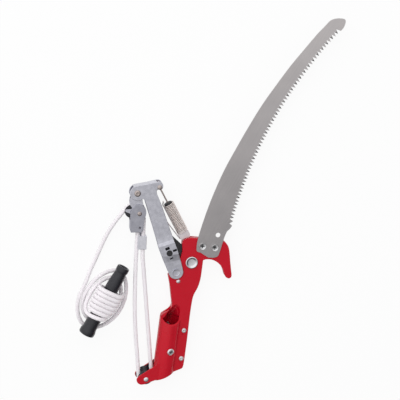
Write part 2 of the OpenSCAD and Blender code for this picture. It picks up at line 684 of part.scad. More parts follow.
// Turns round the waist spread sideways as they go up it
function wrap_point(w) = let (a = w - 60, g = min(1, w / 900), e = max(0, 1 - w / 240),
    side = abs(sin(a)) < 0.001 ? 0 : sign(sin(a)))
    hank(wrap_from - 2 * e * e + loop_step * w / 360, g * wrap_aside + wrap_r * sin(a) + g * wrap_spread * side,
        handle_z + wrap_r * cos(a));
function curve(a, b, va, vb, t) = (2 * t * t * t - 3 * t * t + 1) * a + (t * t * t - 2 * t * t + t) * va
    + (3 * t * t - 2 * t * t * t) * b + (t * t * t - t * t) * vb;
loops = [for (i = [0:50]) loop_point(loop_sweep * i / 50)];
wraps = [for (i = [0:wrap_sweep / 15]) wrap_point(15 * i)];
lead = [for (i = [1:9]) curve(loops[50], wraps[0], 40 * unit(loops[50] - loops[49]), 44 * unit(wraps[1] - wraps[0]),
    i / 10)];
loops_start = loops[0] + rope_d * unit(loops[0] - loops[1]);
wraps_end = wraps[len(wraps) - 1] + rope_d * unit(wraps[len(wraps) - 1] - wraps[len(wraps) - 2]);
winding = concat([loops_start], loops, lead, wraps, [wraps_end]);
echo(winding_least_gap = min([for (i = [0:len(winding) - 1], j = [i + 1:len(winding) - 1])
    let (far = j - i > 6) far ? norm(winding[i] - winding[j]) : 99]) - rope_d);

module rope_hank() {
    rope(winding, 6);
}

// Free stretch from the wheel, down to the table and along it to the winding
free_route = [[-83.3, 213.4, -1.2], [-91.2, 199.2, -4.2], [-98.8, 181.2, -7.8], [-105.4, 159.5, -10.4],
    [-110.8, 141, loop_z], [-114.6, 129, loop_z]];

module rope_free() {
    leave = [wheel_end[0], wheel_end[1], 0];
    away = [wheel_away[0], wheel_away[1], 0];
    land = unit(loops[1] - loops[0]);
    rope(concat([leave, leave + 1.5 * away], smooth(concat([leave + 4 * away], free_route, [loops_start - 4 * land]), 2),
        [loops_start - 1.5 * land, loops_start]), 8);
}

module rope_handle() {
    h = handle_l / 2;
    color([0.09, 0.09, 0.1]) translate([handle_mid[0], handle_mid[1], handle_z]) rotate([0, 90, handle_heading])
        difference() {
            rotate_extrude() polygon([[0, -h], [9.6, -h], [end_r, -h + 1.4], [end_r, -h + 6], [9.7, -h + 9],
                [handle_waist_r, -26], [handle_waist_r, 26], [7.9, h - 8.5], [8.5, h - 6.5], [8.5, h - 1], [7.7, h],
                [0, h]]);
            translate([0, 0, h - 2.2]) cylinder(r = 5.6, h = 4);
            translate([0, 0, -h - 1]) cylinder(r = 6.5, h = 4);
        }
}

front_shell();
rear_shell();
saw_blade();
saw_screws();
saw_nuts();
cutting_blade();
main_pivot_bolt();
main_pivot_nut();
flange_rivets();
lever_pivot_rivets();
lever_stop_rivets();
pole_screw();
socket_rivet();
rope_roller();
roller_pin();
lever();
drive_pin();
drive_pin_rings();
link_rivet();
spring_pin();
spring();
spring_foot();
spring_hook();
anchor_pin();
link_straps();
block_cheeks();
block_rivets();
wheel_axle();
pulley_wheel();
rope_clamp();
rope_fixed_end();
rope_fixed_strand();
rope_roller_turn();
rope_running_strand();
rope_wheel_turn();
rope_free();
rope_hank();
rope_handle();
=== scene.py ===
"""Head of a rope operated tree pruner with a pull saw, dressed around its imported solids."""

import json
import math

import bmesh
import bpy
from mathutils import Matrix, Vector

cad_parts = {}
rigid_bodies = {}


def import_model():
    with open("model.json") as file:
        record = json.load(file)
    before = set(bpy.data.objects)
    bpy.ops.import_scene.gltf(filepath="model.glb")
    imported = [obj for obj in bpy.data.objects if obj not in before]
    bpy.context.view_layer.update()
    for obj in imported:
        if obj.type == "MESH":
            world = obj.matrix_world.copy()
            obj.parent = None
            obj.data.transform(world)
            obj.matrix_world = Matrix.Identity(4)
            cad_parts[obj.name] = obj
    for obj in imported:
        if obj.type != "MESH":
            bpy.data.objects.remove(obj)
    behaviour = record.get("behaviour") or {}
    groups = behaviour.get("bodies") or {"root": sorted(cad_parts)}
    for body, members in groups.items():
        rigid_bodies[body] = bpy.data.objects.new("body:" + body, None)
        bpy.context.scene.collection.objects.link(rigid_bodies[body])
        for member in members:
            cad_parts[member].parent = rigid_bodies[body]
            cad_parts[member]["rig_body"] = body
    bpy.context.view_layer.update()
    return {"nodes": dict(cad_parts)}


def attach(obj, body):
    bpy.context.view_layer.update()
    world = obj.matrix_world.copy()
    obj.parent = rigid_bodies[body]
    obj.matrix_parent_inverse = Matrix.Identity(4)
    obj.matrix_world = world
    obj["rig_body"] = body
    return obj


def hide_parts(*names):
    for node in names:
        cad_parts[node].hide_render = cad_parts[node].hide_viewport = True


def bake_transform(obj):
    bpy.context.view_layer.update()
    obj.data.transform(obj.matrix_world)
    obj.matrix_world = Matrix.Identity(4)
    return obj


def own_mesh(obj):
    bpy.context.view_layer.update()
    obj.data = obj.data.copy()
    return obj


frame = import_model()
nodes = frame["nodes"]
scene = bpy.context.scene
MM = 0.001

# Pivots of the head in millimetres, as in the part's source
MAIN_PIVOT = (18, 157.5)
LEVER_PIVOT = (-1.5, 142.5)
DRIVE_PIN = (-14, 168.5)
LINK_RIVET = (-66, 245)
SPRING_PIN = (-38, 256)
SPRING_ANCHOR = (9, 186)
WHEEL = (-70.5, 219.5)
BLOCK_RIVET = (-60, 218)
ROLLER = (-24, -11)
STOP_RIVET = (3.5, 129.5)
SAW_SCREWS = ((29.5, 181.5), (46.5, 181))
FLANGE_RIVETS = ((20, 60.5), (21.5, 20))
FLOOR_Z = -14.5

# Distances in metres at which points are merged, and at which a cut takes a point as on it
MERGE = 0.000002
ON_CUT = 0.000001


def spot(x, y, z=0.0):
    """A point given in millimetres"""
    return Vector((x, y, z)) * MM


CAMERA_EYE = (-231.34, 510.79, 1247.18)
CAMERA_AIM = (18.94, 242.63)
CAMERA_UP = (-0.13421, 0.99095, 0)
CAMERA_LENS = 87.97


def lay_out_camera():
    lens = bpy.data.cameras.new("studio_camera")
    lens.sensor_width = 36
    lens.lens = CAMERA_LENS
    stand = bpy.data.objects.new("studio_camera", lens)
    scene.collection.objects.link(stand)
    eye = spot(*CAMERA_EYE)
    back = (eye - spot(*CAMERA_AIM)).normalized()
    right = Vector(CAMERA_UP).cross(back).normalized()
    up = back.cross(right)
    turn = Matrix((right, up, back)).transposed().to_4x4()
    stand.matrix_world = Matrix.Translation(eye) @ turn
    scene.camera = stand


lay_out_camera()
scene.view_settings.view_transform = "Standard"


# Node helpers for the finishes
def new_finish(name, colour, metal, rough):
    finish = bpy.data.materials.new(name)
    finish.use_nodes = True
    web = finish.node_tree
    shader = web.nodes["Principled BSDF"]
    shader.inputs["Base Color"].default_value = (*colour, 1)
    shader.inputs["Metallic"].default_value = metal
    shader.inputs["Roughness"].default_value = rough
    finish.diffuse_color = (*colour, 1)
    return finish, web, shader


def on_piece(web, scale=(1, 1, 1), turn=0.0):
    """Places on the piece, turned about Z first and then stretched"""
    where = web.nodes.new("ShaderNodeTexCoord")
    spin = web.nodes.new("ShaderNodeMapping")
    spin.inputs["Rotation"].default_value = (0, 0, turn)
    stretch = web.nodes.new("ShaderNodeMapping")
    stretch.inputs["Scale"].default_value = scale
    web.links.new(where.outputs["Object"], spin.inputs["Vector"])
    web.links.new(spin.outputs["Vector"], stretch.inputs["Vector"])
    return stretch.outputs["Vector"]


def grain(web, vector, scale, detail=3.0, rough=0.55):
    noise = web.nodes.new("ShaderNodeTexNoise")
    noise.inputs["Scale"].default_value = scale
    noise.inputs["Detail"].default_value = detail
    noise.inputs["Roughness"].default_value = rough
    web.links.new(vector, noise.inputs["Vector"])
    return noise.outputs[0]


def spread(web, value, low, high, start=0.3, stop=0.7):
    span = web.nodes.new("ShaderNodeMapRange")
    span.inputs["From Min"].default_value = start
    span.inputs["From Max"].default_value = stop
    span.inputs["To Min"].default_value = low
    span.inputs["To Max"].default_value = high
    web.links.new(value, span.inputs["Value"])
    return span.outputs[0]


def tint(web, factor, first, second):
    mix = web.nodes.new("ShaderNodeMix")
    mix.data_type = "RGBA"
    web.links.new(factor, mix.inputs[0])
    for socket, colour in ((mix.inputs[6], first), (mix.inputs[7], second)):
        if isinstance(colour, tuple):
            socket.default_value = (*colour, 1)
        else:
            web.links.new(colour, socket)
    return mix.outputs[2]


def sums(web, operation, first, second=None):
    node = web.nodes.new("ShaderNodeMath")
    node.operation = operation
    for socket, value in zip(node.inputs, (first, second)):
        if isinstance(value, (int, float)):
            socket.default_value = value
        elif value is not None:
            web.links.new(value, socket)
    return node.outputs[0]


def emboss(web, shader, height, depth, strength=1.0):
    bump = web.nodes.new("ShaderNodeBump")
    bump.inputs["Strength"].default_value = strength
    bump.inputs["Distance"].default_value = depth
    web.links.new(height, bump.inputs["Height"])
    web.links.new(bump.outputs[0], shader.inputs["Normal"])


def mottled(name, dark, light, metal, rough, blotch, fine, depth, coat=0.0, shine=0.5):
    """A finish with slow blotches of colour, a change of gloss and a fine skin"""
    finish, web, shader = new_finish(name, light, metal, sum(rough) / 2)
    place = on_piece(web)
    shade = spread(web, grain(web, place, blotch, 4.0), 0, 1)
    web.links.new(tint(web, shade, dark, light), shader.inputs["Base Color"])
    wear = spread(web, grain(web, place, blotch * 2.7, 5.0), rough[0], rough[1])
    web.links.new(wear, shader.inputs["Roughness"])
    emboss(web, shader, grain(web, place, fine, 2.0), depth)
    shader.inputs["Specular IOR Level"].default_value = shine
    shader.inputs["Coat Weight"].default_value = coat
    shader.inputs["Coat Roughness"].default_value = 0.08
    return finish


def drawn_steel(name, dark, light, rough, heading, rise):
    """Rolled and brushed steel: streaks along a heading in degrees, and painted light that makes it paler
    over a rise in Y, a painted reflection that brightens it towards the top
    """
    finish, web, shader = new_finish(name, light, 1.0, rough)
    streaks = grain(web, on_piece(web, (22, 950, 60), -math.radians(heading)), 1.0, 5.0, 0.6)
    cloud = grain(web, on_piece(web), 28, 3.0)
    parts = web.nodes.new("ShaderNodeSeparateXYZ")
    web.links.new(on_piece(web), parts.inputs[0])
    # Painted light: the steel grows paler over the rise in Y, a painted reflection brightening it towards the
    # top
    high = spread(web, parts.outputs[1], 0, 0.45, *rise)
    shade = sums(web, "ADD", sums(web, "MULTIPLY", streaks, 0.4), sums(web, "MULTIPLY", cloud, 0.3))
    shade = spread(web, sums(web, "ADD", shade, high), 0, 1, 0.28, 0.85)
    web.links.new(tint(web, shade, dark, light), shader.inputs["Base Color"])
    web.links.new(spread(web, streaks, rough - 0.07, rough + 0.07), shader.inputs["Roughness"])
    emboss(web, shader, streaks, 0.00002, 0.5)
    return finish


def braided_rope(name):
    """White braid: yarns that cross on the two slants of the rope's own map, painted darker where they sink
    as painted shade between the yarns
    """
    finish, web, shader = new_finish(name, (0.82, 0.79, 0.83), 0.0, 0.8)
    lay = web.nodes.new("ShaderNodeUVMap")
    lay.uv_map = "rope"
    parts = web.nodes.new("ShaderNodeSeparateXYZ")
    web.links.new(lay.outputs[0], parts.inputs[0])
    round_turn = sums(web, "MULTIPLY", parts.outputs[0], 8.0)
    along = sums(web, "MULTIPLY", parts.outputs[1], 3.0)
    left = sums(web, "ADD", round_turn, along)
    right = sums(web, "SUBTRACT", round_turn, along)
    left_yarn = sums(web, "ABSOLUTE", sums(web, "SINE", sums(web, "MULTIPLY", left, math.pi)))
    right_yarn = sums(web, "ABSOLUTE", sums(web, "SINE", sums(web, "MULTIPLY", right, math.pi)))
    steps = sums(web, "ADD", sums(web, "FLOOR", left), sums(web, "FLOOR", right))
    over = sums(web, "PINGPONG", steps, 1.0)
    yarn = web.nodes.new("ShaderNodeMix")
    web.links.new(over, yarn.inputs[0])
    web.links.new(left_yarn, yarn.inputs[2])
    web.links.new(right_yarn, yarn.inputs[3])
    height = sums(web, "POWER", yarn.outputs[0], 0.6)
    soil = spread(web, grain(web, on_piece(web), 60, 4.0), 0.96, 1.0)
    # Painted shade: the colour darkens where the yarns sink between each other
    yarn_tone_painted_shade = tint(web, spread(web, height, 0, 1, 0.1, 0.9), (0.80, 0.75, 0.785), (0.94, 0.90, 0.935))
    tone = web.nodes.new("ShaderNodeMix")
    tone.data_type = "RGBA"
    tone.blend_type = "MULTIPLY"
    tone.inputs[0].default_value = 1.0
    web.links.new(yarn_tone_painted_shade, tone.inputs[6])
    web.links.new(soil, tone.inputs[7])
    web.links.new(tone.outputs[2], shader.inputs["Base Color"])
    shader.inputs["Subsurface Weight"].default_value = 0.35
    shader.inputs["Subsurface Radius"].default_value = (1, 1, 1)
    shader.inputs["Subsurface Scale"].default_value = 0.0025
    emboss(web, shader, height, 0.0003, 0.5)
    return finish


red_enamel = mottled("red_enamel", (0.49, 0.002, 0.014), (0.525, 0.004, 0.018),
                     0.0, (0.26, 0.34), 35, 800, 0.00001, coat=0.1, shine=0.2)
# The saw's steel carries painted light: paler towards the top of the blade, from Y 0.19 m to 0.5 m
saw_steel = drawn_steel("saw_steel", (0.435, 0.415, 0.42), (0.665, 0.63, 0.63), 0.42, 67, (0.19, 0.5))
# Darker steel for the side faces of the teeth: a painted dark reflection of their ground facets
tooth_painted_dark_reflection = mottled("tooth_painted_dark_reflection", (0.12, 0.12, 0.125), (0.26, 0.25, 0.255),
                      1.0, (0.3, 0.45), 300, 2500, 0.00002)
zinc_plate = mottled("zinc_plate", (0.524, 0.524, 0.582), (0.67, 0.67, 0.737),
                     1.0, (0.26, 0.36), 220, 1600, 0.00002)
clamp_zinc = mottled("clamp_zinc", (0.72, 0.72, 0.78), (0.86, 0.86, 0.92),
                     1.0, (0.36, 0.46), 160, 1600, 0.00002)
pale_zinc = mottled("pale_zinc", (0.79, 0.725, 0.745), (0.93, 0.875, 0.895),
                    1.0, (0.4, 0.52), 200, 1500, 0.00002)
cheek_steel = mottled("cheek_steel", (0.425, 0.425, 0.48), (0.525, 0.525, 0.585),
                      1.0, (0.42, 0.52), 150, 1800, 0.00002)
bright_steel = mottled("bright_steel", (0.70, 0.70, 0.73), (0.84, 0.84, 0.87),
                       1.0, (0.15, 0.21), 60, 900, 0.000004)
brown_steel = mottled("brown_steel", (0.46, 0.39, 0.37), (0.58, 0.51, 0.485),
                      1.0, (0.32, 0.42), 120, 2000, 0.00001)
spring_wire = mottled("spring_wire", (0.76, 0.69, 0.665), (0.95, 0.875, 0.845),
                      1.0, (0.42, 0.52), 250, 2200, 0.00001)
black_oxide = mottled("black_oxide", (0.010, 0.010, 0.012), (0.024, 0.024, 0.027),
                      0.0, (0.4, 0.55), 120, 1800, 0.00002)
black_moulding = mottled("black_moulding", (0.011, 0.011, 0.015), (0.017, 0.017, 0.023),
                         0.0, (0.2, 0.3), 90, 1400, 0.00001)
screw_steel = mottled("screw_steel", (0.60, 0.60, 0.61), (0.78, 0.78, 0.79),
                      1.0, (0.2, 0.28), 300, 1500, 0.00001)
rivet_steel = mottled("rivet_steel", (0.74, 0.72, 0.74), (0.90, 0.88, 0.90),
                      1.0, (0.3, 0.38), 90, 1200, 0.000004)
rope_braid = braided_rope("rope_braid")


# Making pieces
def add_piece(name, shape, finish, body, stands_for=(), sharp=38):
    mesh = bpy.data.meshes.new(name)
    shape.to_mesh(mesh)
    shape.free()
    finishes = finish if isinstance(finish, (list, tuple)) else [finish]
    for coat in finishes:
        mesh.materials.append(coat)
    for face in mesh.polygons:
        face.use_smooth = True
    mesh.set_sharp_from_angle(angle=math.radians(sharp))
    piece = bpy.data.objects.new(name, mesh)
    scene.collection.objects.link(piece)
    if body:
        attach(piece, body)
    if stands_for:
        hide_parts(*stands_for)
    return piece


def flat_shading(piece):
    """Keeps wide faces flat where they meet narrow rounded edges"""
    even = piece.modifiers.new("even_faces", "WEIGHTED_NORMAL")
    even.keep_sharp = True
    even.weight = 100
    return piece


def merged_copy(node):
    shape = bmesh.new()
    shape.from_mesh(nodes[node].data)
    bmesh.ops.remove_doubles(shape, verts=shape.verts, dist=MERGE)
    bmesh.ops.dissolve_limit(shape, angle_limit=math.radians(0.6), verts=shape.verts, edges=shape.edges)
    return shape


def everything(shape):
    return shape.verts[:] + shape.edges[:] + shape.faces[:]


def body_of(node):
    return nodes[node]["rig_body"]


def rounded_edges(shape, edge, steps=3, sharp=35, allowed=None):
    chosen = []
    for line in shape.edges:
        if len(line.link_faces) != 2 or not line.is_convex:
            continue
        if line.calc_face_angle() < math.radians(sharp):
            continue
        if allowed is None or allowed((line.verts[0].co + line.verts[1].co) / (2 * MM)):
            chosen.append(line)
    bmesh.ops.bevel(shape, geom=chosen, offset=edge * MM, offset_type="OFFSET", affect="EDGES",
                    segments=steps, profile=0.5, material=-1, clamp_overlap=False)


def softened(node, name, finish, edge, steps=3, sharp=35, allowed=None):
    """A copy of a solid with its sharp edges rounded"""
    shape = merged_copy(node)
    rounded_edges(shape, edge, steps, sharp, allowed)
    return flat_shading(add_piece(name, shape, finish, body_of(node), (node,), 50))


def spun(profile, place=(0, 0), steps=48):
    """Spins a line of (radius, height) points in millimetres round an upright axis"""
    shape = bmesh.new()
    line = [shape.verts.new(spot(radius, 0, height)) for radius, height in profile]
    edges = [shape.edges.new(pair) for pair in zip(line, line[1:])]
    bmesh.ops.spin(shape, geom=line + edges, cent=(0, 0, 0), axis=(0, 0, 1), angle=2 * math.pi, steps=steps,
                   use_merge=True, use_duplicate=False)
    bmesh.ops.remove_doubles(shape, verts=shape.verts, dist=MERGE)
    bmesh.ops.recalc_face_normals(shape, faces=shape.faces)
    bmesh.ops.translate(shape, verts=shape.verts, vec=spot(*place))
    return shape


def joined(shapes):
    whole = bmesh.new()
    for shape in shapes:
        sheet = bpy.data.meshes.new("joined")
        shape.to_mesh(sheet)
        shape.free()
        whole.from_mesh(sheet)
        bpy.data.meshes.remove(sheet)
    return whole


def turned_piece(name, profile, places, finish, node):
    shape = joined([spun(profile, place) for place in places])
    return add_piece(name, shape, finish, body_of(node), (node,), 30)


# Rope lines, repeated from the part's source
ROPE_R = 2.7
ROLLER_ROPE_R = 9.0
WHEEL_ROPE_R = 7.4


def polar(centre, radius, angle):
    turn = math.radians(angle)
    return Vector((centre[0] + radius * math.cos(turn), centre[1] + radius * math.sin(turn), 0))


def heading(angle):
    turn = math.radians(angle)
    return Vector((math.sin(turn), -math.cos(turn), 0))


def smooth_line(points, steps):
    points = [Vector(point) for point in points]
    last = len(points) - 1
    line = []
    for index in range(last):
        before = points[max(0, index - 1)]
        here = points[index]
        there = points[index + 1]
        after = points[min(last, index + 2)]
        for step in range(steps):
            t = step / steps
            line.append(0.5 * (2 * here + (there - before) * t
                               + (2 * before - 5 * here + 4 * there - after) * t * t
                               + (3 * here - before - 3 * there + after) * t * t * t))
    return line + [points[last]]


def rope_arc(centre, radius, start, stop, steps):
    return [polar(centre, radius, start + (stop - start) * index / steps) for index in range(steps + 1)]


clamp_at = Vector((-50, 178.3, 0))
clamp_down = heading(5)
clamp_foot = clamp_at + 9.2 * clamp_down
clamp_tail = clamp_at - 33 * clamp_down
strand_down = heading(11.1)
strand_end = polar(ROLLER, ROLLER_ROPE_R, 11.1) - 0.8 * strand_down
running_up = heading(189.8)
running_start = polar(ROLLER, ROLLER_ROPE_R, 189.8) + 0.8 * running_up
wheel_away = -heading(146.2)
wheel_end = polar(WHEEL, WHEEL_ROPE_R, 146.2) + 0.8 * wheel_away
block_foot = Vector((-59, 191, 0))
block_up = Vector((-1, 7.4, 0)).normalized()
knee = Vector((-47.4, 155, 0))

HANK_MID = Vector((-91.5, 93.75, 0))
HANK_TURN = math.radians(67.7)
LOOP_Z = -11.75
HANDLE_Z = 1.95
LOOP_STEP = 6.15
LOOP_SWEEP = 720
LOOP_LONG = 50
LOOP_WIDE = 31.5
LOOP_LOW = 3
LOOP_ASIDE = -0.5
LOOP_FULL = 0.86
RISE_FROM = 655
WRAP_FROM = -23
WRAP_R = 12.2
WRAP_ASIDE = 1.2
WRAP_SPREAD = 4.5
WRAP_PRESS = 0.12


def on_hank(s, t, z):
    along = Vector((math.cos(HANK_TURN), math.sin(HANK_TURN), 0))
    aside = Vector((math.sin(HANK_TURN), -math.cos(HANK_TURN), 0))
    return HANK_MID + s * along + t * aside + Vector((0, 0, z))


def loop_point(v):
    """Loops narrow to both ends, and the last one rises beside the handle"""
    a = math.radians(4 - v)
    k = LOOP_STEP * v / 360
    c = math.cos(a)
    f = LOOP_FULL + (1 - LOOP_FULL) * v / LOOP_SWEEP
    lift = max(0, v - RISE_FROM) / 80
    along = (LOOP_LONG - 1.8 * k) * math.sin(a) - LOOP_LOW * c * c
    aside = LOOP_ASIDE - (LOOP_WIDE - k) * c * (f + (1 - f) * c * c)
    return on_hank(along, aside, LOOP_Z + 5 * lift * lift)


def wrap_point(w):
    """Turns round the waist spread sideways as they go up it"""
    a = math.radians(w - 60)
    grown = min(1, w / 900)
    ease = max(0, 1 - w / 240)
    side = 0 if abs(math.sin(a)) < 0.001 else math.copysign(1, math.sin(a))
    along = WRAP_FROM - 2 * ease * ease + LOOP_STEP * w / 360
    aside = grown * WRAP_ASIDE + WRAP_R * math.sin(a) + grown * WRAP_SPREAD * side
    return on_hank(along, aside, HANDLE_Z + WRAP_R * math.cos(a))


def lead_between(first, second, leave, meet, count):
    line = []
    for index in range(1, count + 1):
        t = index / (count + 1)
        line.append((2 * t ** 3 - 3 * t * t + 1) * first + (t ** 3 - 2 * t * t + t) * leave
                    + (3 * t * t - 2 * t ** 3) * second + (t ** 3 - t * t) * meet)
    return line


loops = [loop_point(LOOP_SWEEP * index / 50) for index in range(51)]
wraps = [wrap_point(15 * index) for index in range(155)]
loops_start = loops[0] + 5.4 * (loops[0] - loops[1]).normalized()
wraps_end = wraps[-1] + 5.4 * (wraps[-1] - wraps[-2]).normalized()
lead = lead_between(loops[-1], wraps[0], 40 * (loops[-1] - loops[-2]).normalized(),
                    44 * (wraps[1] - wraps[0]).normalized(), 9)
land = (loops[1] - loops[0]).normalized()

fixed_end_line = [clamp_tail + (clamp_foot - clamp_tail) * index / 12 for index in range(13)]
fixed_strand_line = smooth_line(
    [clamp_foot, clamp_foot + 1.5 * clamp_down, (-48.3, 160.5, 0), knee]
    + [knee + (strand_end - knee) * index / 10 for index in range(1, 10)]
    + [strand_end - 1.5 * strand_down, strand_end], 3)
roller_turn_line = [strand_end] + rope_arc(ROLLER, ROLLER_ROPE_R, 11.1, -170.2, 40) + [running_start]
running_strand_line = ([running_start, running_start + 1.5 * running_up] + smooth_line(
    [(-35.5, 2, 0), (-38.3, 17, 0), (-43.8, 46, 0), (-48.6, 76, 0), (-52.2, 106, 0), (-55.1, 136, 0),
     (-57.3, 165, 0), (-58.3, 180, 0)], 6) + [block_foot - 1.5 * block_up, block_foot])
wheel_turn_line = ([block_foot, block_foot + 1.5 * block_up]
                   + smooth_line([block_foot + 7.4 * block_up, (-61.2, 206, 0),
                                  polar(WHEEL, WHEEL_ROPE_R, 8.4)], 4)
                   + rope_arc(WHEEL, WHEEL_ROPE_R, 14, 146.2, 26) + [wheel_end])
free_line = ([wheel_end, wheel_end + 1.5 * wheel_away] + smooth_line(
    [wheel_end + 4 * wheel_away, (-83.3, 213.4, -1.2), (-91.2, 199.2, -4.2), (-98.8, 181.2, -7.8),
     (-105.4, 159.5, -10.4), (-110.8, 141, LOOP_Z), (-114.6, 129, LOOP_Z), loops_start - 4 * land], 5)
    + [loops_start - 1.5 * land, loops_start])
hank_line = [loops_start] + loops + lead + wraps + [wraps_end]


def rope_tube(name, line, body, stands_for, sides=14, pressed_from=None, flat=None):
    """A tube along a line, mapped round and along it, and wider along flat where it is pressed"""
    shape = bmesh.new()
    sheet = shape.loops.layers.uv.new("rope")
    last = len(line) - 1
    side = Vector((0, 0, 1))
    rings = []
    runs = []
    run = 0.0
    for index, point in enumerate(line):
        ahead = (line[min(last, index + 1)] - line[max(0, index - 1)]).normalized()
        side = (side - ahead * side.dot(ahead)).normalized()
        across = ahead.cross(side)
        if index:
            run += (point - line[index - 1]).length
        runs.append(run / (2 * ROPE_R))
        ring = []
        for corner in range(sides):
            angle = 2 * math.pi * corner / sides
            offset = side * math.cos(angle) + across * math.sin(angle)
            if flat and index >= pressed_from:
                offset += flat * offset.dot(flat) * WRAP_PRESS * min(1, (index - pressed_from) / 12)
            ring.append(shape.verts.new((point + ROPE_R * offset) * MM))
        rings.append(ring)
    for index in range(last):
        for corner in range(sides):
            after = (corner + 1) % sides
            face = shape.faces.new((rings[index][corner], rings[index][after], rings[index + 1][after],
                                    rings[index + 1][corner]))
            marks = ((corner, index), (corner + 1, index), (corner + 1, index + 1), (corner, index + 1))
            for loop, (turn, ring) in zip(face.loops, marks):
                loop[sheet].uv = (turn / sides, runs[ring])
    shape.faces.new(list(reversed(rings[0])))
    shape.faces.new(rings[last])
    return add_piece(name, shape, rope_braid, body, stands_for, 60)


rope_tube("rope_fixed_end_braid", fixed_end_line, "block", ("rope_fixed_end",))
fixed_strand = rope_tube("rope_fixed_strand_braid", fixed_strand_line, "block", ("rope_fixed_strand",))
rope_tube("rope_roller_turn_braid", roller_turn_line, "head", ("rope_roller_turn",))
running_strand = rope_tube("rope_running_strand_braid", running_strand_line, "block",
                           ("rope_running_strand",))
rope_tube("rope_wheel_turn_braid", wheel_turn_line, "block", ("rope_wheel_turn",))
free_rope = rope_tube("rope_free_braid", free_line, None, ("rope_free",))
handle_run = Vector((math.cos(HANK_TURN), math.sin(HANK_TURN), 0))
hank = rope_tube("rope_hank_braid", hank_line, "handle", ("rope_hank",),
                 pressed_from=len(loops) + len(lead), flat=handle_run)
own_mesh(fixed_strand)
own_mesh(running_strand)
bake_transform(free_rope)


# Handle
HANDLE_HALF = 52.5


def make_handle():
    h = HANDLE_HALF
    profile = [(0, -h + 3), (5.6, -h + 3), (6.3, -h + 2.6), (6.5, -h + 1.4), (6.8, -h + 0.3), (7.4, -h),
               (9.4, -h), (10.3, -h + 0.4), (10.8, -h + 1.4), (10.8, -h + 5.6), (10.5, -h + 7),
               (9.9, -h + 8.6), (9.6, -h + 10.5), (9.4, -30), (9.3, -20), (9.25, 0), (9.3, 20), (9.3, 25),
               (9.1, 29), (8.5, h - 15), (7.95, h - 9.4), (7.9, h - 8.6), (8.1, h - 7.6), (8.5, h - 6.6),
               (8.6, h - 5), (8.55, h - 1.3), (8.3, h - 0.5), (7.7, h), (6.3, h), (5.9, h - 0.2),
               (5.7, h - 0.8), (5.6, h - 1.9), (5.2, h - 2.2), (0, h - 2.2)]
    shape = spun(profile, steps=64)
    stand = Matrix.Translation(spot(HANK_MID.x, HANK_MID.y, HANDLE_Z))
    stand = stand @ Matrix.Rotation(HANK_TURN, 4, "Z") @ Matrix.Rotation(math.radians(90), 4, "Y")
    bmesh.ops.transform(shape, matrix=stand, verts=shape.verts)
    add_piece("rope_handle_moulding", shape, black_moulding, "handle", ("rope_handle",), 50)


make_handle()


# Shells: only the outer edges are rounded, not the blade's pocket, the mouth or the holes.
# The rear ear's inner face is painted black, as painted shade in the deep gap between the ears
EAR_INSIDE = 9.7
POCKET_HALF = 2.4
POCKET_FLOOR = 4.5
POCKET_FROM = 84
MOUTH_FROM = 61
MOUTH_TO = 104
MOUTH_RIGHT = 17
HOLE_ROOM = 4.2


def outer_edge(middle):
    if abs(middle.z) < POCKET_HALF:
        return False
    if abs(middle.z) < POCKET_FLOOR and middle.y > POCKET_FROM:
        return False
    if middle.z > 0 and MOUTH_FROM < middle.y < MOUTH_TO and middle.x < MOUTH_RIGHT:
        return False
    for x, y in (MAIN_PIVOT, LEVER_PIVOT, STOP_RIVET, ROLLER, *SAW_SCREWS, *FLANGE_RIVETS):
        if math.hypot(middle.x - x, middle.y - y) < HOLE_ROOM:
            return False
    return True


softened("front_shell", "front_shell_enamel", red_enamel, 1.0, 4, 40, outer_edge)
rear = softened("rear_shell", "rear_shell_enamel", [red_enamel, black_moulding], 1.0, 4, 40,
                outer_edge)
# Painted shade: the upward inner face of the rear ear takes the black finish
for face in rear.data.polygons:
    if face.normal.z > 0.9 and abs(face.center.z / MM + EAR_INSIDE) < 0.1:
        face.material_index = 1

# The neck is closed on its left below the sweep of the blade's tail
NECK_LINE = ((-4.2, 112.4), (-3.0, 107), (-1.9, 102), (-1.1, 98), (-0.9, 95))
NECK_HALF = 2.1
NECK_WALL = 1.2


def make_neck_wall():
    shape = bmesh.new()
    line = [spot(x, y, -NECK_HALF) for x, y in NECK_LINE]
    line += [spot(x + NECK_WALL, y, -NECK_HALF) for x, y in reversed(NECK_LINE)]
    base = shape.faces.new([shape.verts.new(point) for point in line])
    grown = bmesh.ops.extrude_face_region(shape, geom=[base])
    top = [item for item in grown["geom"] if isinstance(item, bmesh.types.BMVert)]
    bmesh.ops.translate(shape, verts=top, vec=spot(0, 0, 2 * NECK_HALF))
    bmesh.ops.recalc_face_normals(shape, faces=shape.faces)
    add_piece("neck_wall", shape, red_enamel, "head")


make_neck_wall()

# Round shoulder inside the socket's wall, on its left behind the mouth
SHOULDER_AT = (0, 74.5)
SHOULDER_R = (12.8, 13.6)


def make_shoulder():
    shape = bmesh.new()
    for radius in SHOULDER_R:
        ball = bmesh.ops.create_uvsphere(shape, u_segments=48, v_segments=32, radius=radius * MM)
        if radius == SHOULDER_R[0]:
            inner = {face for corner in ball["verts"] for face in corner.link_faces}
            bmesh.ops.reverse_faces(shape, faces=list(inner))
    for point, normal in (((0, 0, -0.4), (0, 0, 1)), ((0, 0, 0), (0, -1, 0)), ((1, 0, 0), (1, 0, 0))):
        cut = bmesh.ops.bisect_plane(shape, geom=everything(shape), dist=ON_CUT,
                                     plane_co=spot(*point), plane_no=normal, clear_outer=True)
        rim = [edge for edge in cut["geom_cut"] if isinstance(edge, bmesh.types.BMEdge)]
        bmesh.ops.bridge_loops(shape, edges=rim)
    bmesh.ops.recalc_face_normals(shape, faces=shape.faces)
    bmesh.ops.translate(shape, verts=shape.verts, vec=spot(*SHOULDER_AT))
    add_piece("socket_shoulder", shape, red_enamel, "head")


make_shoulder()

